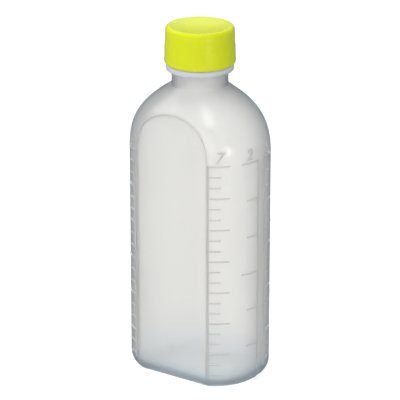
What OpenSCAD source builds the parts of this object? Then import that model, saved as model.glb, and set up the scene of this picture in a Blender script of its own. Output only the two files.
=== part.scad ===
// Oval dispensing bottle with moulded dose scales, screw cap and sealing liner.
// Millimetres, +Z up, front label panel facing -Y, origin at the centre of the base.

/* [Body] */
// Width of the oval body, side to side
body_width = 60.6; // [40:0.5:80]
// Depth of the oval before the two panels are cut, front to back
oval_depth = 48.9; // [36:0.1:60]
// Distance between the front and back flat panels
panel_depth = 41.7; // [30:0.1:48]
// Roundness of the oval: 2 is an ellipse, more is squarer
oval_power = 2.22; // [2:0.01:2.6]
// Height where the side walls start to lean in to the shoulder
shoulder_z = 99; // [80:0.5:110]
// Height where the shoulder meets the neck
neck_root_z = 126.6; // [115:0.1:135]
// Rounding of the edge around the base
base_round = 6.2; // [2:0.1:10]
// Rise of the push-up in the middle of the base
push_up = 2.4; // [0:0.1:4]
// Wall thickness of the body
wall = 1.2; // [0.8:0.05:2]
// Thickness of the base
base_wall = 2.2; // [1:0.1:3]

/* [Neck] */
// Outside radius of the neck
neck_r = 11.7; // [10:0.05:13]
// Inside radius of the neck
mouth_r = 9.8; // [8:0.05:11]
// Radius of the transfer bead below the cap
bead_r = 14.1; // [12.5:0.05:15]
// Underside of the transfer bead
bead_z = 132.6; // [128:0.1:136]
// Height of the transfer bead
bead_h = 2.4; // [1:0.1:3]
// Top of the lip that the liner seals on
lip_z = 148.6; // [140:0.1:152]

/* [Thread] */
// Rise of the thread in one turn
thread_lead = 4; // [3:0.5:5]
// Turns of thread on the neck and in the cap
thread_turns = 1.25; // [1:0.25:2]
// Crest radius of the thread on the neck
neck_crest_r = 12.65; // [12:0.05:13]
// Crest radius of the thread inside the cap
cap_crest_r = 12.05; // [11.8:0.05:12.6]

/* [Scales] */
// Height of the lowest mark above the base
scale_z = 2.7; // [1:0.1:8]
// Height of the scales from the lowest to the top mark
scale_h = 96.6; // [60:0.1:100]
// How far the moulded marks stand out from the wall
mark_h = 0.35; // [0.2:0.05:0.5]
// Thickness of a mark, up and down
mark_w = 0.5; // [0.3:0.05:0.8]

/* [Cap] */
// Radius of the cap's bead near its lower edge
cap_r = 14.8; // [14:0.05:16]
// Radius of the cap's upper side wall
cap_top_r = 14.5; // [13.8:0.05:15.6]
// Lower edge of the cap
cap_z = 135.5; // [130:0.1:140]
// Overall height of the closed bottle
total_h = 151.2; // [140:0.1:156]
// Thickness of the cap's top
cap_top_t = 1.5; // [1:0.1:2.5]
// Radius of the cap's bore
cap_bore_r = 13.0; // [12.6:0.05:13.6]
// Thickness of the sealing liner
liner_t = 1.0; // [0.6:0.1:2]
// Radius of the sealing liner
liner_r = 12.9; // [12:0.05:13]

/* [Hidden] */
half_a = body_width / 2;
half_b = oval_depth / 2;
half_f = panel_depth / 2;
apex_gain = 4.4;
apex_fall = 1.4;
side_gain = 2.5;
shoulder_b_z = shoulder_z - 2;
flat_steps = 2;
curve_steps = 10;
$fn = 48;

// Oval section.
function spow(v, p) = sign(v) * pow(abs(v), p);

// Angle of the oval where the flat panel cuts it, at most 80 degrees.
function cut_angle(b, n, f) = f >= b ? 80 : min(80, asin(pow(f / b, n / 2)));

// Half width of the flat, 0 where the oval does not reach it.
function oval_pt(a, b, n, t) = [a * pow(max(0, cos(t)), 2 / n), b * pow(max(0, sin(t)), 2 / n)];

// One quarter, from the middle of the panel to the side: [x, y] with both >= 0.
function quarter(a, b, n, f) =
    let (tc = cut_angle(b, n, f),
         xc = oval_pt(a, b, n, tc)[0],
         open = f >= b || asin(pow(f / b, n / 2)) > 80)
    concat(
        [for (i = [0 : flat_steps])
            open ? let (p = oval_pt(a, b, n, 90 - (90 - tc) * i / flat_steps)) [p[0], min(f, p[1])]
                 : [xc * i / flat_steps, f]],
        [for (j = [1 : curve_steps]) oval_pt(a, b, n, tc * (1 - j / curve_steps))]);

// Whole ring at height z, from the front middle round by the right side.
function ring(a, b, n, f, z) =
    let (q = quarter(a, b, n, f), m = len(q) - 1)
    concat(
        [for (i = [0 : m - 1]) [q[i][0], -q[i][1], z]],
        [for (i = [m : -1 : 1]) [q[i][0], q[i][1], z]],
        [for (i = [0 : m - 1]) [-q[i][0], q[i][1], z]],
        [for (i = [m : -1 : 1]) [-q[i][0], -q[i][1], z]]);

function lean(u, m) = 1 - pow(max(0, min(u, 1)), m);

// Shoulder ring: inset is the wall taken off, drop lowers the whole arch by it.
// It runs in a little under the neck, so that the two solids cross cleanly.
function shoulder_ring(z, inset, drop) =
    let (r = neck_r - 0.3 - 0.75 * inset,
         ua = (z - shoulder_z) / (neck_root_z - drop - shoulder_z),
         ub = (z - shoulder_b_z) / (neck_root_z - drop - shoulder_b_z),
         a = r + (half_a - inset - r) * lean(ua, side_gain),
         b = r + (half_b - inset - r) * pow(lean(ub, apex_gain), apex_fall),
         n = oval_power + (2 - oval_power) * max(0, min(1, ua)))
    ring(a, b, n, half_f - inset, z);

shoulder_steps = 12;
function shoulder_height(i, drop) =
    shoulder_z + (neck_root_z - drop - shoulder_z) * (1 - pow(1 - i / shoulder_steps, 1.45));

base_steps = 3;
function base_ring(i, edge, inset, z0) =
    let (t = 90 * i / base_steps, in = inset + edge * (1 - sin(t)))
    ring(half_a - in, half_b - in, oval_power, half_f - in, z0 + edge * (1 - cos(t)));

// Rings inside the flat standing land, rising to the push-up.
land = 0.95;
function push_ring(s, lift, edge, inset, z0) =
    let (in = inset + edge, z = z0 + lift)
    [for (p = ring(half_a - in, half_b - in, oval_power, half_f - in, 0)) [p[0] * s, p[1] * s, z]];

function round_ring(r, z) = ring(r, r, 2, r + 1, z);

// Outer skin from the middle of the base up, then back down inside.
function body_rings() = concat(
    [for (s = [0.3, 0.6, 0.82, land]) push_ring(s, push_up * (1 - pow(s / land, 2.4)), base_round, 0, 0)],
    [for (i = [0 : base_steps]) base_ring(i, base_round, 0, 0)],
    [for (i = [0 : shoulder_steps]) shoulder_ring(shoulder_height(i, 0), 0, 0)],
    [round_ring(neck_r - 0.8, neck_root_z + 0.4), round_ring(mouth_r + 0.7, neck_root_z + 0.4)],
    [round_ring(mouth_r + 0.7, neck_root_z - wall)],
    [for (i = [shoulder_steps : -2 : 0]) shoulder_ring(shoulder_height(i, 1.35 * wall), wall, 1.35 * wall)],
    [for (i = [base_steps : -1 : 0]) base_ring(i, base_round - 0.6 * wall, wall, base_wall)],
    [for (s = [0.82, 0.6, 0.3]) push_ring(s, push_up * (1 - pow(s / land, 2.4)), base_round - 0.6 * wall, wall, base_wall)]);

module skin(rings) {
    count = len(rings[0]);
    last = len(rings) - 1;
    points = [for (r = rings) for (p = r) p];
    sides = [for (i = [0 : last - 1]) for (j = [0 : count - 1])
        let (k = (j + 1) % count,
             p = i * count + j, q = (i + 1) * count + j,
             r = (i + 1) * count + k, s = i * count + k)
        each [[p, q, r], [p, r, s]]];
    middle = len(points);
    ends = [for (j = [0 : count - 1]) let (k = (j + 1) % count)
        each [[middle, j, k], [middle + 1, last * count + k, last * count + j]]];
    polyhedron(points = concat(points, [[0, 0, rings[0][0][2]], [0, 0, rings[last][0][2]]]),
               faces = concat(sides, ends), convexity = 8);
}

// Moulded marks.
function wall_x(y) = half_a * pow(max(0, 1 - pow(abs(y) / half_b, oval_power)), 1 / oval_power);
function wall_n(x, y) =
    let (gx = pow(x / half_a, oval_power - 1) / half_a,
         gy = sign(y) * pow(abs(y) / half_b, oval_power - 1) / half_b,
         l = sqrt(gx * gx + gy * gy)) [gx / l, gy / l];
function off_wall(y, d) = let (x = wall_x(y), n = wall_n(x, y)) [x + n[0] * d, y + n[1] * d];

// A band on the curved wall between two depths, following it.
module band(y0, y1, sx, sy, steps) {
    outer = [for (i = [0 : steps]) off_wall(y0 + (y1 - y0) * i / steps, mark_h)];
    inner = [for (i = [steps : -1 : 0]) off_wall(y0 + (y1 - y0) * i / steps, -0.5)];
    polygon([for (p = concat(outer, inner)) [p[0] * sx, p[1] * sy]]);
}

// One scale: a line, and a mark at each step, long at every third one.
module dose_scale(count, every, line_y, long_y, short_y, sx, sy) {
    toward = sign(long_y - line_y);
    for (k = [1 : count])
        translate([0, 0, scale_z + scale_h * k / count - mark_w / 2])
            linear_extrude(height = mark_w)
                band(line_y, (k % every == 0) ? long_y : short_y, sx, sy, 2);
    translate([0, 0, base_round + 0.4])
        linear_extrude(height = scale_z + scale_h - base_round - 0.4)
            band(line_y - toward * mark_w, line_y + toward * 0.1, sx, sy, 1);
}

// The edge of the panel is where the oval reaches half_f.
edge_y = half_f - 0.12;

module scales() {
    dose_scale(21, 3, -edge_y, -14.9, -17.6, 1, 1);
    dose_scale(6, 3, -1.35, -10.5, -7.9, 1, 1);
    dose_scale(15, 3, 2.3, 9.4, 6.9, 1, 1);
    dose_scale(9, 3, edge_y, 14.3, 17.3, 1, 1);
    dose_scale(18, 3, -edge_y, -14.9, -17.6, -1, 1);
    dose_scale(12, 3, -1.35, -10.5, -7.9, -1, 1);
    dose_scale(10, 5, edge_y, 14.3, 17.3, -1, 1);
}

// Numerals.
// Strokes on a cell 3.4 wide and 5 high, each from one point to another.
function strokes(d) =
    d == 0 ? [[0, 0, 3, 0], [3, 0, 3, 5], [3, 5, 0, 5], [0, 5, 0, 0]] :
    d == 2 ? [[0, 4.2, 0.8, 5], [0.8, 5, 2.4, 5], [2.4, 5, 3, 4], [3, 4, 0, 0], [0, 0, 3, 0]] :
    d == 3 ? [[0, 5, 3, 5], [3, 5, 1.4, 3], [1.4, 3, 3, 2.2], [3, 2.2, 2.6, 0.2], [2.6, 0.2, 0, 0]] :
    d == 4 ? [[2.2, 0, 2.2, 5], [2.2, 5, 0, 1.6], [0, 1.6, 3.2, 1.6]] :
    d == 5 ? [[2.8, 5, 0.2, 5], [0.2, 5, 0, 2.8], [0, 2.8, 2.4, 3], [2.4, 3, 3, 1.2], [3, 1.2, 0, 0]] :
    d == 6 ? [[2.4, 5, 0, 2.4], [0, 2.4, 0, 0.4], [0, 0.4, 2.8, 0], [2.8, 0, 2.8, 2.4], [2.8, 2.4, 0, 2.4]] :
             [[0, 5, 3, 5], [3, 5, 1, 0]];

module stroke(s) {
    l = norm([s[2] - s[0], s[3] - s[1]]);
    translate([s[0], s[1]])
        rotate(atan2(s[3] - s[1], s[2] - s[0]))
            translate([-0.3, -0.3]) square([l + 0.6, 0.6]);
}

// Numeral standing on the wall at depth y of the side given by sx.
module numeral(d, y, sx) {
    x = wall_x(y) * sx;
    n = wall_n(wall_x(y), y);
    turn = atan2(n[1], n[0] * sx);
    translate([x, y, scale_z + scale_h + 1.2])
        rotate([0, 0, turn + 90])
            rotate([90, 0, 0])
                translate([-1.5, 0, -1.2])
                    linear_extrude(height = 1.2 + mark_h)
                        for (s = strokes(d)) stroke(s);
}

module numerals() {
    numeral(7, -18.4, 1);
    numeral(2, -6.6, 1);
    numeral(5, 4.9, 1);
    numeral(3, 18.4, 1);
    numeral(6, -18.4, -1);
    numeral(4, -6.6, -1);
}

// Neck.
function sweep_ring(t, r0, r1, zc, w0, w1) = [
    [r0 * cos(t), r0 * sin(t), zc - w0 / 2], [r1 * cos(t), r1 * sin(t), zc - w1 / 2],
    [r1 * cos(t), r1 * sin(t), zc + w1 / 2], [r0 * cos(t), r0 * sin(t), zc + w0 / 2]];

// Helical ridge from radius root to radius crest, run in and out at the ends.
module ridge(root, crest, turns, z_top, start) {
    steps = round(turns * 24);
    rings = [for (i = [0 : steps])
        let (g = min(1, i / 3, (steps - i) / 3),
             t = start - 360 * turns * i / steps,
             zc = z_top - thread_lead * turns * i / steps,
             r1 = root + (crest - root) * (0.3 + 0.7 * g))
        sweep_ring(t, root, r1, zc, 1.7 * (0.6 + 0.4 * g), 0.7 * (0.6 + 0.4 * g))];
    points = [for (r = rings) for (p = r) p];
    out = crest > root;
    sides = [for (i = [0 : steps - 1]) for (j = [0 : 3])
        let (k = (j + 1) % 4, p = i * 4 + j, q = (i + 1) * 4 + j, r = (i + 1) * 4 + k, s = i * 4 + k)
        each (out ? [[p, q, r], [p, r, s]] : [[p, r, q], [p, s, r]])];
    a = [for (j = [0 : 3]) out ? j : 3 - j];
    b = [for (j = [0 : 3]) steps * 4 + (out ? 3 - j : j)];
    polyhedron(points = points, faces = concat(sides, [a, b]), convexity = 4);
}

neck_thread_z = lip_z - 2.6;

module neck() {
    rotate_extrude()
        polygon([
            [mouth_r, neck_root_z - 1.9], [neck_r, neck_root_z - 0.35],
            [neck_r, bead_z - 0.7], [neck_r + 0.9, bead_z - 0.2],
            [bead_r - 0.8, bead_z], [bead_r - 0.2, bead_z + 0.45], [bead_r, bead_z + 1.1],
            [bead_r, bead_z + bead_h - 0.25], [bead_r - 0.25, bead_z + bead_h],
            [neck_r, bead_z + bead_h],
            [neck_r, lip_z - 0.4], [neck_r - 0.4, lip_z],
            [mouth_r + 0.4, lip_z], [mouth_r, lip_z - 0.4]]);
}

module bottle() {
    color([0.93, 0.93, 0.91, 1])
        union() {
            skin(body_rings());
            neck();
            ridge(neck_r - 0.4, neck_crest_r, thread_turns, neck_thread_z, 200);
            scales();
            numerals();
        }
}

// Liner.
module cap_liner() {
    color([0.96, 0.96, 0.94, 1])
        rotate_extrude()
            polygon([
                [0, lip_z], [liner_r - 0.15, lip_z], [liner_r, lip_z + 0.15],
                [liner_r, lip_z + liner_t - 0.15], [liner_r - 0.15, lip_z + liner_t], [0, lip_z + liner_t]]);
}

// Cap.
module screw_cap() {
    mid_z = cap_z + 7.4;
    color([0.84, 0.88, 0.2, 1])
        union() {
            rotate_extrude()
                polygon([
                    [0, total_h - cap_top_t], [cap_bore_r - 0.3, total_h - cap_top_t],
                    [cap_bore_r, total_h - cap_top_t - 0.3],
                    [cap_bore_r, cap_z + 0.5], [cap_bore_r + 0.4, cap_z],
                    [cap_r - 0.9, cap_z], [cap_r - 0.35, cap_z + 0.2], [cap_r, cap_z + 0.8],
                    [cap_r, cap_z + 1.5], [cap_r - 0.12, cap_z + 1.9],
                    [cap_top_r + 0.16, mid_z], [cap_top_r, mid_z + 0.35],
                    [cap_top_r - 0.2, total_h - 1.5], [cap_top_r - 0.4, total_h - 0.8],
                    [cap_top_r - 0.8, total_h - 0.3], [cap_top_r - 1.3, total_h - 0.06],
                    [cap_top_r - 1.7, total_h], [0, total_h]]);
            ridge(cap_bore_r + 0.35, cap_crest_r, thread_turns,
                  neck_thread_z - thread_lead / 2 + 0.6, 200);
        }
}

bottle();
cap_liner();
screw_cap();
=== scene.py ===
import bpy
import bmesh
import math
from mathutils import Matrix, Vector


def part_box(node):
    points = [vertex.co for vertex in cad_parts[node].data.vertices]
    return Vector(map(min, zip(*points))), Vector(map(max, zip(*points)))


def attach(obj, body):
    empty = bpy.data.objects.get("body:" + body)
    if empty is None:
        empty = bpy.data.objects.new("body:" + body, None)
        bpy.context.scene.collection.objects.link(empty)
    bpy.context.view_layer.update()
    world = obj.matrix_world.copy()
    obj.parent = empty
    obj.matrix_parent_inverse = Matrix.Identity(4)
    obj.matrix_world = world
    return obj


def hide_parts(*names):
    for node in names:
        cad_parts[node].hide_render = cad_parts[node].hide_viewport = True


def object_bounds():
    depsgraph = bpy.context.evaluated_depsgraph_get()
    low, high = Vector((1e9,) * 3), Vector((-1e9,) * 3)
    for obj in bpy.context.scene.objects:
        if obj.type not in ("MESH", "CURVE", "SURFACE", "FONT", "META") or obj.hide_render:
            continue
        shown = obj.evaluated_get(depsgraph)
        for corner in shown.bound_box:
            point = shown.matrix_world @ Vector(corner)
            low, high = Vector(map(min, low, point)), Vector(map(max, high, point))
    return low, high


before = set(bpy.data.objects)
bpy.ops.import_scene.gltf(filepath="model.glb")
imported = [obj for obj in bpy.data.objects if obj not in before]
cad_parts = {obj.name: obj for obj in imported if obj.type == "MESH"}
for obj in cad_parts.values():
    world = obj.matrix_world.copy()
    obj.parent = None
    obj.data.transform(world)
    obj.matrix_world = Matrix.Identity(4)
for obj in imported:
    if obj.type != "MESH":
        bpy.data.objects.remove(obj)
cadLow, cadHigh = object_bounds()
mm = 0.001
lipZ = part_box("bottle")[1].z
capLow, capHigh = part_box("screw_cap")
print("frame loaded", [round(v, 4) for v in (*cadLow, *cadHigh)])


def clearSelection():
    if bpy.context.object and bpy.context.object.mode != "OBJECT":
        bpy.ops.object.mode_set(mode="OBJECT")
    bpy.ops.object.select_all(action="DESELECT")


def makeActive(piece):
    clearSelection()
    piece.select_set(True)
    bpy.context.view_layer.objects.active = piece


def applyModifiers(piece):
    makeActive(piece)
    for name in [m.name for m in piece.modifiers]:
        bpy.ops.object.modifier_apply(modifier=name)


def smoothShade(piece, angle=35):
    makeActive(piece)
    bpy.ops.object.shade_smooth_by_angle(angle=math.radians(angle))


def joinPieces(pieces, name):
    clearSelection()
    for piece in pieces:
        piece.select_set(True)
    bpy.context.view_layer.objects.active = pieces[0]
    if len(pieces) > 1:
        bpy.ops.object.join()
    piece = bpy.context.object
    piece.name = piece.data.name = name
    return piece


def ringTower(name, rings, sides):
    # a circle extruded and resized ring after ring, closed at both ends
    clearSelection()
    bpy.ops.mesh.primitive_circle_add(vertices=sides, radius=1)
    piece = bpy.context.object
    piece.name = piece.data.name = name
    z, rx, ry = rings[0][:3]
    bpy.ops.object.mode_set(mode="EDIT")
    bpy.ops.mesh.select_all(action="SELECT")
    bpy.ops.transform.resize(value=(rx, ry, 1), center_override=(0, 0, 0))
    bpy.ops.transform.translate(value=(0, 0, z))
    bpy.ops.mesh.edge_face_add()
    bpy.ops.mesh.select_mode(type="EDGE")
    bpy.ops.mesh.select_all(action="SELECT")
    for here, there in zip(rings, rings[1:]):
        bpy.ops.mesh.extrude_edges_move(
            TRANSFORM_OT_translate={"value": (0, 0, there[0] - here[0])})
        bpy.ops.transform.resize(
            value=(there[1] / here[1], there[2] / here[2], 1),
            center_override=(0, 0, there[0]))
    bpy.ops.mesh.edge_face_add()
    bpy.ops.mesh.select_all(action="SELECT")
    bpy.ops.mesh.normals_make_consistent(inside=False)
    bpy.ops.object.mode_set(mode="OBJECT")
    return piece


def mouldedLine(points, radius, taper=0):
    # a round bead along a line; taper thins that many points at each end
    clearSelection()
    bpy.ops.curve.primitive_nurbs_path_add(radius=mm)
    path = bpy.context.object
    path.data.splines.clear()
    line = path.data.splines.new("POLY")
    line.points.add(len(points) - 1)
    last = len(points) - 1
    for i, (knot, place) in enumerate(zip(line.points, points)):
        knot.co = (*place, 1)
        knot.radius = min(1, 0.3 + 0.7 * min(i, last - i) / taper) if taper else 1
    path.data.dimensions = "3D"
    path.data.bevel_depth = radius
    path.data.bevel_resolution = 2
    path.data.use_fill_caps = True
    bpy.ops.object.convert(target="MESH")
    return bpy.context.object


bottle = {
    "halfWidth": 30.3 * mm, "halfDepth": 24.45 * mm, "halfPanel": 20.85 * mm,
    "power": 2.22, "shoulderZ": 99.0 * mm, "neckRootZ": 126.6 * mm,
    "sideGain": 2.5, "apexGain": 4.4, "apexFall": 1.4, "baseRound": 6.2 * mm, "pushUp": 2.4 * mm,
    "land": 0.95, "wall": 1.2 * mm, "baseWall": 2.2 * mm, "neckR": 11.7 * mm, "mouthR": 9.8 * mm,
    "beadR": 14.1 * mm, "beadZ": 132.6 * mm, "beadH": 2.4 * mm, "beadReach": 1.5 * mm,
    "beadSquare": 0.7, "beadBelow": 1.2, "beadAbove": 0.98,
    "relief": 0.5 * mm, "reliefStart": 9 * mm, "reliefEnd": 11 * mm,      # the neck thins below its lip
    "crease": 0.3 * mm, "creaseBead": 0.5 * mm, "creaseSunk": 0.34 * mm, "creaseLow": 0.46 * mm,
    "partingBead": 0.3 * mm, "partingSunk": 0.2 * mm, "partingRise": 5,   # shoulder rings it climbs
    "creaseTaper": 7, "partingTaper": 4, "shoulderDrop": 1.35, "sides": 240,
}


def lean(u, gain):
    return 1 - max(0.0, min(1.0, u)) ** gain


def bodyRing(z, inset, drop):
    # the oval at one height; inset and drop give the inner wall
    b = bottle
    ua = (z - b["shoulderZ"]) / (b["neckRootZ"] - drop - b["shoulderZ"])
    ub = (z - b["shoulderZ"] + 2 * mm) / (b["neckRootZ"] - drop - b["shoulderZ"] + 2 * mm)
    r = b["neckR"] - 0.75 * inset
    rx = r + (b["halfWidth"] - inset - r) * lean(ua, b["sideGain"])
    ry = r + (b["halfDepth"] - inset - r) * lean(ub, b["apexGain"]) ** b["apexFall"]
    power = b["power"] + (2 - b["power"]) * max(0.0, min(1.0, ua))
    return (z, rx, ry, b["halfPanel"] - inset, power)


def baseRings(inset, floorZ, steps=9):
    # pushed-up middle, then the rounded foot
    b = bottle
    edge = b["baseRound"] - 0.6 * inset
    rings = []
    for s in (0.06, 0.25, 0.45, 0.62, 0.76, 0.87, b["land"]):
        cut = inset + edge
        lift = b["pushUp"] * (1 - (s / b["land"]) ** 2.4) if s < b["land"] else 0
        rings.append((floorZ + lift, (b["halfWidth"] - cut) * s, (b["halfDepth"] - cut) * s,
                      (b["halfPanel"] - cut) * s, b["power"]))
    for i in range(steps + 1):
        t = math.pi / 2 * i / steps
        cut = inset + edge * (1 - math.sin(t))
        rings.append((floorZ + edge * (1 - math.cos(t)), b["halfWidth"] - cut, b["halfDepth"] - cut,
                      b["halfPanel"] - cut, b["power"]))
    return rings


def shoulderRings(inset, drop, steps=36):
    b = bottle
    top = b["neckRootZ"] - drop
    start = b["shoulderZ"] - 2 * mm
    return [bodyRing(start + (top - start) * (1 - (1 - i / steps) ** 1.45), inset, drop)
            for i in range(steps + 1)]


def roundRings(points):
    return [(z, r, r, 2 * r, 2.0) for r, z in points]


def softPanel(depth, panel, crease):
    # flat at the panel, with a narrow rounded crease where the oval runs in to it
    if depth < panel - crease:
        return depth
    if depth > panel + crease:
        return panel
    return depth - (depth - panel + crease) ** 2 / (4 * crease)


def makeBottleShell():
    b = bottle
    n, m, root = b["neckR"], b["mouthR"], b["neckRootZ"]
    wide = m + b["relief"]
    # up the neck, over its lip and down the bore
    neckProfile = [
        (n, root + 0.5 * mm), (n, lipZ - 0.5 * mm), (n - 0.15 * mm, lipZ - 0.15 * mm),
        (n - 0.5 * mm, lipZ), (m + 0.5 * mm, lipZ), (m + 0.15 * mm, lipZ - 0.15 * mm),
        (m, lipZ - 0.5 * mm), (m, lipZ - b["reliefStart"]), (wide, lipZ - b["reliefEnd"]),
        (wide, root + 0.2 * mm), (wide + 0.1 * mm, root - 0.9 * mm),
    ]
    drop = b["shoulderDrop"] * b["wall"]
    rings = (baseRings(0, 0) + shoulderRings(0, 0) + roundRings(neckProfile)
             + shoulderRings(b["wall"], drop)[::-1] + baseRings(b["wall"], b["baseWall"])[::-1])
    shell = ringTower("bottleShell", rings, b["sides"])
    for i, vertex in enumerate(shell.data.vertices):
        z, rx, ry, panel, power = rings[i // b["sides"]]
        c, s = vertex.co.x / rx, vertex.co.y / ry
        x = rx * math.copysign(abs(c) ** (2 / power), c)
        y = ry * abs(s) ** (2 / power)
        vertex.co.x = x
        vertex.co.y = math.copysign(softPanel(y, panel, b["crease"]), s)
    smoothShade(shell, 40)
    return shell


def makeTransferBead():
    # a ring half sunk in the neck, its section squared a little and sloped below
    b = bottle
    reach, half = b["beadReach"], b["beadH"] / 2
    clearSelection()
    bpy.ops.mesh.primitive_torus_add(major_radius=b["beadR"] - reach, minor_radius=reach,
                                     major_segments=160, minor_segments=24)
    ring = bpy.context.object
    ring.name = ring.data.name = "transferBead"
    for vertex in ring.data.vertices:
        u = vertex.co.z / reach
        tall = half * (b["beadBelow"] if u < 0 else b["beadAbove"])
        vertex.co.z = b["beadZ"] + half + math.copysign(abs(u) ** b["beadSquare"], u) * tall
    smoothShade(ring, 60)
    return ring


def creasePoint(ring):
    z, rx, ry, panel, power = ring
    return Vector((rx * max(0.0, 1 - (panel / ry) ** power) ** (1 / power), panel, z))


def panelEdge(side):
    # up one edge of the panel, over its arch and down the other
    b = bottle
    low, high = b["shoulderZ"], b["neckRootZ"]
    while high - low > 1e-6:
        mid = (low + high) / 2
        low, high = (mid, high) if bodyRing(mid, 0, 0)[2] > b["halfPanel"] else (low, mid)
    start = b["shoulderZ"] - 2 * mm
    climb = [bodyRing(low - (low - start) * (1 - i / 40) ** 2, 0, 0) for i in range(40)]
    halfLine = [creasePoint(ring) for ring in baseRings(0, 0)[-7:] + climb]
    outward = math.copysign(1, side)
    apex = Vector((0, b["halfPanel"], low))
    line = halfLine + [apex] + [Vector((-p.x, p.y, p.z)) for p in halfLine[::-1]]
    sunk = [b["creaseSunk"] if p.z > b["shoulderZ"] else b["creaseLow"] for p in line]
    return [(p.x, outward * (p.y - deep), p.z) for p, deep in zip(line, sunk)]


def partingEdge(side):
    # where the two halves of the mould met, up the side to the shoulder
    b = bottle
    rings = baseRings(0, 0)[-8:] + shoulderRings(0, 0)[:b["partingRise"]]
    return [(side * (ring[1] - b["partingSunk"]), 0, ring[0]) for ring in rings]


thread = {
    "ridge": 0.8 * mm, "turns": 1.25, "lead": 4 * mm, "start": 200, "perTurn": 40, "taper": 5,
    "belowLip": 2.6 * mm, "capDrop": 1.4 * mm, "neckR": 11.85 * mm, "capR": 12.85 * mm,
}


def helix(radius, topZ):
    steps = round(thread["turns"] * thread["perTurn"])
    points = []
    for i in range(steps + 1):
        turned = thread["turns"] * i / steps
        t = math.radians(thread["start"] - 360 * turned)
        points.append((radius * math.cos(t), radius * math.sin(t), topZ - thread["lead"] * turned))
    return points


def makeThread(name, radius, topZ):
    ridge = mouldedLine(helix(radius, topZ), thread["ridge"], thread["taper"])
    ridge = joinPieces([ridge], name)
    smoothShade(ridge, 60)
    return ridge


shell = makeBottleShell()
transferBead = makeTransferBead()
print("bottle shell and bead", len(shell.data.polygons), len(transferBead.data.polygons))
mouldLines = joinPieces(
    [mouldedLine(panelEdge(side), bottle["creaseBead"], bottle["creaseTaper"]) for side in (-1, 1)]
    + [mouldedLine(partingEdge(side), bottle["partingBead"], bottle["partingTaper"])
       for side in (-1, 1)], "mouldLines")
smoothShade(mouldLines, 60)
neckThread = makeThread("neckThread", thread["neckR"], lipZ - thread["belowLip"])
print("mould lines and neck thread", len(mouldLines.data.polygons), len(neckThread.data.polygons))

# the scales beside the panels are thin, those in the middle of the wall are bold
marks = {
    "baseZ": 2.7 * mm, "height": 96.6 * mm, "proud": 0.35 * mm, "sunk": 0.3 * mm,
    "thick": 0.5 * mm, "midThick": 0.62 * mm,
    "stem": 0.4 * mm, "midStem": 0.8 * mm, "stemFoot": 6.6 * mm,
    "numeral": 5.0 * mm, "fontSize": 1.38, "slant": 0.25, "lift": 1.3 * mm, "steps": 7,
}
edgeY = bottle["halfPanel"] - 0.12 * mm
# steps, steps to a long mark, line, long end, short end, side, numeral, its place and its width
scaleList = [
    (21, 3, -edgeY, -14.9 * mm, -17.6 * mm, 1, "7", -18.0 * mm, 0.75),
    (6, 3, -1.35 * mm, -10.5 * mm, -7.9 * mm, 1, "2", -7.0 * mm, 1),
    (15, 3, 2.3 * mm, 9.4 * mm, 6.9 * mm, 1, "5", 5.6 * mm, 1),
    (9, 3, edgeY, 14.3 * mm, 17.3 * mm, 1, "3", 17.8 * mm, 0.75),
    (18, 3, -edgeY, -14.9 * mm, -17.6 * mm, -1, "6", -17.8 * mm, 0.75),
    (12, 3, -1.35 * mm, -10.5 * mm, -7.9 * mm, -1, "4", -7.0 * mm, 1),
    (10, 5, edgeY, 14.3 * mm, 17.3 * mm, -1, "", 0, 1),
]


def wallAt(y, z):
    ring = bodyRing(z, 0, 0)
    rx, ry, power = ring[1], ring[2], ring[4]
    x = rx * max(0.0, 1 - (abs(y) / ry) ** power) ** (1 / power)
    gx = (x / rx) ** (power - 1) / rx
    gy = math.copysign((abs(y) / ry) ** (power - 1) / ry, y)
    return x, Vector((gx, gy, 0)).normalized()


def onWall(y, z, side, out=0.0):
    x, normal = wallAt(y, z)
    return Vector(((x + normal.x * out) * side, y + normal.y * out, z))


def strip(y0, y1, z0, z1, side, across):
    bpy.ops.object.select_all(action="DESELECT")
    bpy.ops.mesh.primitive_grid_add(x_subdivisions=across, y_subdivisions=1, size=1)
    piece = bpy.context.object
    for vertex in piece.data.vertices:
        u, v = vertex.co.x + 0.5, vertex.co.y + 0.5
        vertex.co = onWall(y0 + (y1 - y0) * u, z0 + (z1 - z0) * v, side, marks["proud"])
    return piece


def numeral(text, y, side, narrow):
    clearSelection()
    bpy.ops.object.text_add()
    word = bpy.context.object
    word.data.body = text
    word.data.size = marks["numeral"] * marks["fontSize"]
    word.data.align_x = "CENTER"
    word.data.shear = marks["slant"]
    word.data.resolution_u = 4
    bpy.ops.object.convert(target="MESH")
    word = bpy.context.object
    z = marks["baseZ"] + marks["height"] + marks["lift"]
    proud = marks["proud"] * narrow ** 2          # a narrow numeral stands lower too
    for vertex in word.data.vertices:
        u, v = vertex.co.x * narrow, vertex.co.y
        vertex.co = onWall(y + u * side, z + v, side, proud)
    return word


def makeMarks():
    m = marks
    clearSelection()
    pieces = []
    top = m["baseZ"] + m["height"]
    for count, every, line, longEnd, shortEnd, side, text, textY, narrow in scaleList:
        toward = math.copysign(1, longEnd - line)
        half = (m["thick"] if narrow < 1 else m["midThick"]) / 2
        stem = m["stem"] if narrow < 1 else m["midStem"]
        for k in range(1, count + 1):
            z = m["baseZ"] + m["height"] * k / count
            end = shortEnd if k % every else longEnd
            pieces.append(strip(line, end, z - half, z + half, side, m["steps"]))
        pieces.append(strip(line, line + toward * stem, m["stemFoot"], top, side, 2))
        if text:
            pieces.append(numeral(text, textY, side, narrow))
    piece = joinPieces(pieces, "doseMarks")
    faceOut(piece)
    wall = piece.modifiers.new("raised", "SOLIDIFY")
    wall.thickness = m["proud"] + m["sunk"]
    wall.offset = -1
    applyModifiers(piece)
    return piece


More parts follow.
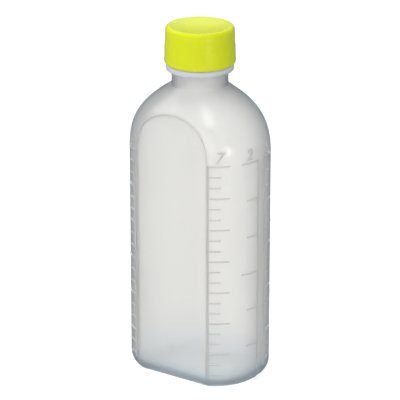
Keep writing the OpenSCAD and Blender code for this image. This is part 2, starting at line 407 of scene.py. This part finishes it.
def faceOut(piece):
    # every mark is still an open sheet: turn those that look inward
    sheet = bmesh.new()
    sheet.from_mesh(piece.data)
    bmesh.ops.remove_doubles(sheet, verts=sheet.verts, dist=1e-6)
    for face in sheet.faces:
        middle = face.calc_center_median()
        if face.normal.dot(Vector((middle.x, middle.y, 0))) < 0:
            face.normal_flip()
    sheet.to_mesh(piece.data)
    sheet.free()


doseMarks = makeMarks()
print("dose marks", len(doseMarks.data.polygons))

cap = {
    "beadR": 14.8 * mm, "topR": 14.5 * mm, "roof": 1.5 * mm, "boreR": 13.0 * mm, "dish": 0.8 * mm,
    "waistUp": 7.4 * mm, "sides": 160,
}


def makeCap():
    c = cap
    lo, hi = capLow.z, capHigh.z
    mid = lo + c["waistUp"]
    t, b, r = c["topR"], c["beadR"], c["boreR"]
    roof = hi - c["roof"]
    dishedTop = [(s * (t - 1.9 * mm), hi - c["dish"] * (1 - s ** 2))
                 for s in (0.03, 0.25, 0.45, 0.65, 0.82, 0.94)]
    # over the rounded edge, down the skirt to its bead, and up the bore to the roof
    profile = dishedTop + [
        (t - 1.65 * mm, hi - 0.01 * mm), (t - 1.3 * mm, hi - 0.06 * mm),
        (t - 1.0 * mm, hi - 0.17 * mm), (t - 0.74 * mm, hi - 0.34 * mm),
        (t - 0.54 * mm, hi - 0.56 * mm), (t - 0.38 * mm, hi - 0.84 * mm),
        (t - 0.27 * mm, hi - 1.18 * mm), (t - 0.21 * mm, hi - 1.6 * mm),
        (t - 0.02 * mm, mid + 0.6 * mm), (t + 0.02 * mm, mid + 0.3 * mm),
        (t + 0.1 * mm, mid), (t + 0.14 * mm, mid - 0.4 * mm), (b - 0.1 * mm, lo + 2.2 * mm),
        (b - 0.03 * mm, lo + 1.8 * mm), (b, lo + 1.4 * mm), (b - 0.03 * mm, lo + 0.95 * mm),
        (b - 0.15 * mm, lo + 0.55 * mm), (b - 0.42 * mm, lo + 0.2 * mm), (b - 0.8 * mm, lo),
        (r + 0.4 * mm, lo), (r + 0.1 * mm, lo + 0.15 * mm),
        (r, lo + 0.5 * mm), (r, roof - 0.3 * mm), (r - 0.3 * mm, roof), (0.4 * mm, roof),
    ]
    return ringTower("capShell", roundRings(profile), c["sides"])


capShell = makeCap()
smoothShade(capShell, 40)
capThread = makeThread("capThread", thread["capR"], lipZ - thread["belowLip"] - thread["capDrop"])
print("cap and its thread", len(capShell.data.polygons), len(capThread.data.polygons))


def makeMouldedSkin():
    # fine grain of the mould and slow unevenness of the wall, shared by all three plastics
    tree = bpy.data.node_groups.new("mouldedSkin", "ShaderNodeTree")
    face = tree.interface
    face.new_socket(name="Vector", in_out="INPUT", socket_type="NodeSocketVector")
    for name in ("Grain Scale", "Wave Scale", "Wave Share"):
        face.new_socket(name=name, in_out="INPUT", socket_type="NodeSocketFloat")
    for name in ("Tone", "Height"):
        face.new_socket(name=name, in_out="OUTPUT", socket_type="NodeSocketFloat")
    nodes, links = tree.nodes, tree.links
    given = nodes.new("NodeGroupInput")
    result = nodes.new("NodeGroupOutput")
    grain = nodes.new("ShaderNodeTexNoise")
    grain.inputs["Detail"].default_value = 2
    wave = nodes.new("ShaderNodeTexNoise")
    wave.inputs["Detail"].default_value = 1
    both = nodes.new("ShaderNodeMix")
    for noise, scale in ((grain, "Grain Scale"), (wave, "Wave Scale")):
        links.new(given.outputs["Vector"], noise.inputs["Vector"])
        links.new(given.outputs[scale], noise.inputs["Scale"])
    links.new(given.outputs["Wave Share"], both.inputs[0])
    links.new(grain.outputs["Fac"], both.inputs[2])
    links.new(wave.outputs["Fac"], both.inputs[3])
    links.new(wave.outputs["Fac"], result.inputs["Tone"])
    links.new(both.outputs[0], result.inputs["Height"])
    return tree


mouldedSkin = makeMouldedSkin()


def newMaterial(name):
    material = bpy.data.materials.new(name)
    material.use_nodes = True
    nodes, links = material.node_tree.nodes, material.node_tree.links
    return material, nodes, links, nodes["Principled BSDF"]


def plastic(name, look):
    # tone, roughness and relief all come from the shared skin, each plastic with its own values
    material, nodes, links, shader = newMaterial(name)
    place = nodes.new("ShaderNodeTexCoord")
    skin = nodes.new("ShaderNodeGroup")
    skin.node_tree = mouldedSkin
    links.new(place.outputs["Object"], skin.inputs["Vector"])
    for socket, key in (
            ("Grain Scale", "grain"), ("Wave Scale", "wave"), ("Wave Share", "waveShare")):
        skin.inputs[socket].default_value = look[key]
    tone = nodes.new("ShaderNodeMix")
    tone.data_type = "RGBA"
    tone.inputs[6].default_value = look["deep"]
    tone.inputs[7].default_value = look["light"]
    links.new(skin.outputs["Tone"], tone.inputs[0])
    links.new(tone.outputs[2], shader.inputs["Base Color"])
    gloss = nodes.new("ShaderNodeMapRange")
    gloss.inputs["To Min"].default_value = look["roughness"][0]
    gloss.inputs["To Max"].default_value = look["roughness"][1]
    links.new(skin.outputs["Tone"], gloss.inputs["Value"])
    links.new(gloss.outputs["Result"], shader.inputs["Roughness"])
    bump = nodes.new("ShaderNodeBump")
    bump.inputs["Strength"].default_value = look["relief"]
    bump.inputs["Distance"].default_value = look["reliefDepth"]
    links.new(skin.outputs["Height"], bump.inputs["Height"])
    links.new(bump.outputs["Normal"], shader.inputs["Normal"])
    return material, nodes, links, shader


naturalPp = {
    "light": (0.988, 0.957, 0.915, 1), "deep": (0.97, 0.939, 0.897, 1), "roughness": (0.5, 0.6),
    "grain": 420.0, "wave": 30.0, "waveShare": 0.9, "relief": 0.15, "reliefDepth": 0.001,
    "transmission": 0.85, "ior": 1.18, "coat": 1.0, "coatRoughness": 0.17,
    "density": 172.0, "haze": (0.0, 0.07, 0.15, 1),
    # foot: painted shade, a blue-grey mixed into the colour towards the bottom
    "footShade": (0.80, 0.845, 0.86, 1), "footShadeReach": (2 * mm, 13 * mm),
}
# painted shade: the raised marks get a darker, less clear copy of the bottle plastic so they read as
# shaded lines
shadedMarkPp = {
    **naturalPp, "light": (0.80, 0.785, 0.76, 1), "deep": (0.77, 0.755, 0.73, 1),
    "transmission": 0.7, "coat": 0.25,
}
# painted light: the transfer bead is a paler, nearly opaque copy of the bottle plastic, so it shows
# bright under the cap
litBeadPp = {
    **naturalPp, "light": (0.59, 0.59, 0.62, 1), "deep": (0.56, 0.56, 0.59, 1), "transmission": 0.15,
}


def makeNaturalPp(name, p):
    material, nodes, links, shader = plastic(name, p)
    shader.inputs["Transmission Weight"].default_value = p["transmission"]
    shader.inputs["IOR"].default_value = p["ior"]
    shader.inputs["Coat Weight"].default_value = p["coat"]
    shader.inputs["Coat Roughness"].default_value = p["coatRoughness"]
    place = nodes.new("ShaderNodeTexCoord")          # the foot is thicker; its colour is painted darker and bluer towards the bottom as painted shade
    split = nodes.new("ShaderNodeSeparateXYZ")
    links.new(place.outputs["Object"], split.inputs[0])
    climb = nodes.new("ShaderNodeMapRange")
    climb.interpolation_type = "SMOOTHSTEP"
    climb.inputs["From Min"].default_value, climb.inputs["From Max"].default_value = p["footShadeReach"]
    links.new(split.outputs["Z"], climb.inputs["Value"])
    footShade = nodes.new("ShaderNodeMix")
    footShade.data_type = "RGBA"
    footShade.inputs[6].default_value = p["footShade"]
    links.new(climb.outputs["Result"], footShade.inputs[0])
    links.new(shader.inputs["Base Color"].links[0].from_socket, footShade.inputs[7])
    links.new(footShade.outputs[2], shader.inputs["Base Color"])
    haze = nodes.new("ShaderNodeVolumeAbsorption")
    haze.inputs["Density"].default_value = p["density"]
    haze.inputs["Color"].default_value = p["haze"]
    links.new(haze.outputs["Volume"], nodes["Material Output"].inputs["Volume"])
    return material


capPlastic = {
    "light": (0.565, 0.60, 0.010, 1), "deep": (0.525, 0.56, 0.006, 1), "roughness": (0.24, 0.32),
    "grain": 500.0, "wave": 45.0, "waveShare": 0.85, "relief": 0.12, "reliefDepth": 0.0006,
    "glow": 0.35, "sheen": 0.3, "glowReach": (0.004, 0.0042, 0.0008),
}


def makeCapPlastic():
    p = capPlastic
    material, nodes, links, shader = plastic("capPlastic", p)
    shader.inputs["Subsurface Weight"].default_value = p["glow"]
    shader.inputs["Subsurface Radius"].default_value = p["glowReach"]
    shader.inputs["Subsurface Scale"].default_value = 1
    shader.inputs["Specular IOR Level"].default_value = p["sheen"]
    return material


linerFoam = {
    "light": (0.86, 0.86, 0.84, 1), "deep": (0.80, 0.80, 0.78, 1), "roughness": (0.6, 0.8),
    "grain": 1800.0, "wave": 120.0, "waveShare": 0.2, "relief": 0.4, "reliefDepth": 0.0001,
}

ppMaterial = makeNaturalPp("naturalPp", naturalPp)
shadedMarkMaterial = makeNaturalPp("shadedMarkPp", shadedMarkPp)
litBeadMaterial = makeNaturalPp("litBeadPp", litBeadPp)
capMaterial = makeCapPlastic()
linerMaterial = plastic("linerFoam", linerFoam)[0]


def dress(piece, material):
    piece.data.materials.clear()
    piece.data.materials.append(material)


for piece, material, body, slot, node in (
        (shell, ppMaterial, "bottle", "natural_pp", "bottle"),
        (mouldLines, ppMaterial, "bottle", "natural_pp", "bottle"),
        (neckThread, ppMaterial, "bottle", "natural_pp", "bottle"),
        (transferBead, litBeadMaterial, "bottle", "natural_pp", "bottle"),
        (doseMarks, shadedMarkMaterial, "bottle", "natural_pp", "bottle"),
        (capShell, capMaterial, "cap", "cap_plastic", "screw_cap"),
        (capThread, capMaterial, "cap", "cap_plastic", "screw_cap")):
    dress(piece, material)
    piece.visible_shadow = piece not in (shell, capShell)      # light passes the thin walls
    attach(piece, body)
    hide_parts(node)
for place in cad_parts["cap_liner"].material_slots:
    place.material = linerMaterial
print("materials and bodies")

studio = {
    "floorSize": 8.0, "floor": (0.93, 0.93, 0.93, 1), "floorRoughness": 0.9, "floorGap": 0.1 * mm,
    "world": (0.66, 0.80, 0.92, 1), "worldStrength": 0.32, "middle": (0, 0, 0.09),
}
clearSelection()
bpy.ops.mesh.primitive_plane_add(
    size=studio["floorSize"], location=(0, 0, cadLow.z - studio["floorGap"]))
floor = bpy.context.object
floor.name = "floor"
floorMaterial, nodes, links, shader = newMaterial("floorPaper")
shader.inputs["Base Color"].default_value = studio["floor"]
shader.inputs["Roughness"].default_value = studio["floorRoughness"]
floor.data.materials.append(floorMaterial)
floor.visible_glossy = False         # the sheen shows the studio, not the paper

world = bpy.data.worlds.new("studio")
bpy.context.scene.world = world
world.use_nodes = True
world.node_tree.nodes["Background"].inputs[0].default_value = studio["world"]
world.node_tree.nodes["Background"].inputs[1].default_value = studio["worldStrength"]


def around(azimuth, elevation, distance):
    a, e = math.radians(azimuth), math.radians(elevation)
    return (math.sin(a) * math.cos(e) * distance, -math.cos(a) * math.cos(e) * distance,
            studio["middle"][2] + math.sin(e) * distance)


# name, place, width and height, watts, whether it leaves a sheen
lightList = [
    ("overhead", (0.05, 0.0, 2.2), (2.9, 2.9), 46.5, False),
    ("frontFill", around(10, 20, 1.4), (1.0, 1.0), 10.5, False),
    ("keyBox", around(42, 66, 1.0), (0.2, 0.62), 1.1, True),
    ("leftBox", around(-70, 42, 1.15), (0.7, 0.6), 2.2, True),
    ("lowBox", around(64, 1, 1.0), (0.22, 0.18), 0.6, True),
    ("rearBox", around(214, 38, 1.3), (1.0, 0.7), 3.2, True),
]
for name, place, size, watts, sheen in lightList:
    bpy.ops.object.light_add(type="AREA", location=place)
    lamp = bpy.context.object
    lamp.name = name
    lamp.data.shape = "RECTANGLE"
    lamp.data.size, lamp.data.size_y = size
    lamp.data.energy = watts
    facing = Vector(studio["middle"]) - Vector(place)
    lamp.rotation_euler = facing.to_track_quat("-Z", "Y").to_euler()
    lamp.visible_glossy = sheen

view = {
    "azimuth": 34.87, "elevation": 20.06, "distance": 1.0868, "aim": (0, 0, 0.07514), "lens": 233.6,
}
a, e = math.radians(view["azimuth"]), math.radians(view["elevation"])
back = Vector((math.sin(a) * math.cos(e), -math.cos(a) * math.cos(e), math.sin(e)))
bpy.ops.object.camera_add(location=Vector(view["aim"]) + back * view["distance"])
camera = bpy.context.object
camera.rotation_mode = "QUATERNION"
camera.rotation_quaternion = (-back).to_track_quat("-Z", "Y")
camera.data.lens = view["lens"]
camera.data.sensor_width = 36
camera.data.clip_start, camera.data.clip_end = 0.01, 50
bpy.context.scene.camera = camera
bpy.context.scene.view_settings.view_transform = "Standard"
print("floor, light and camera")
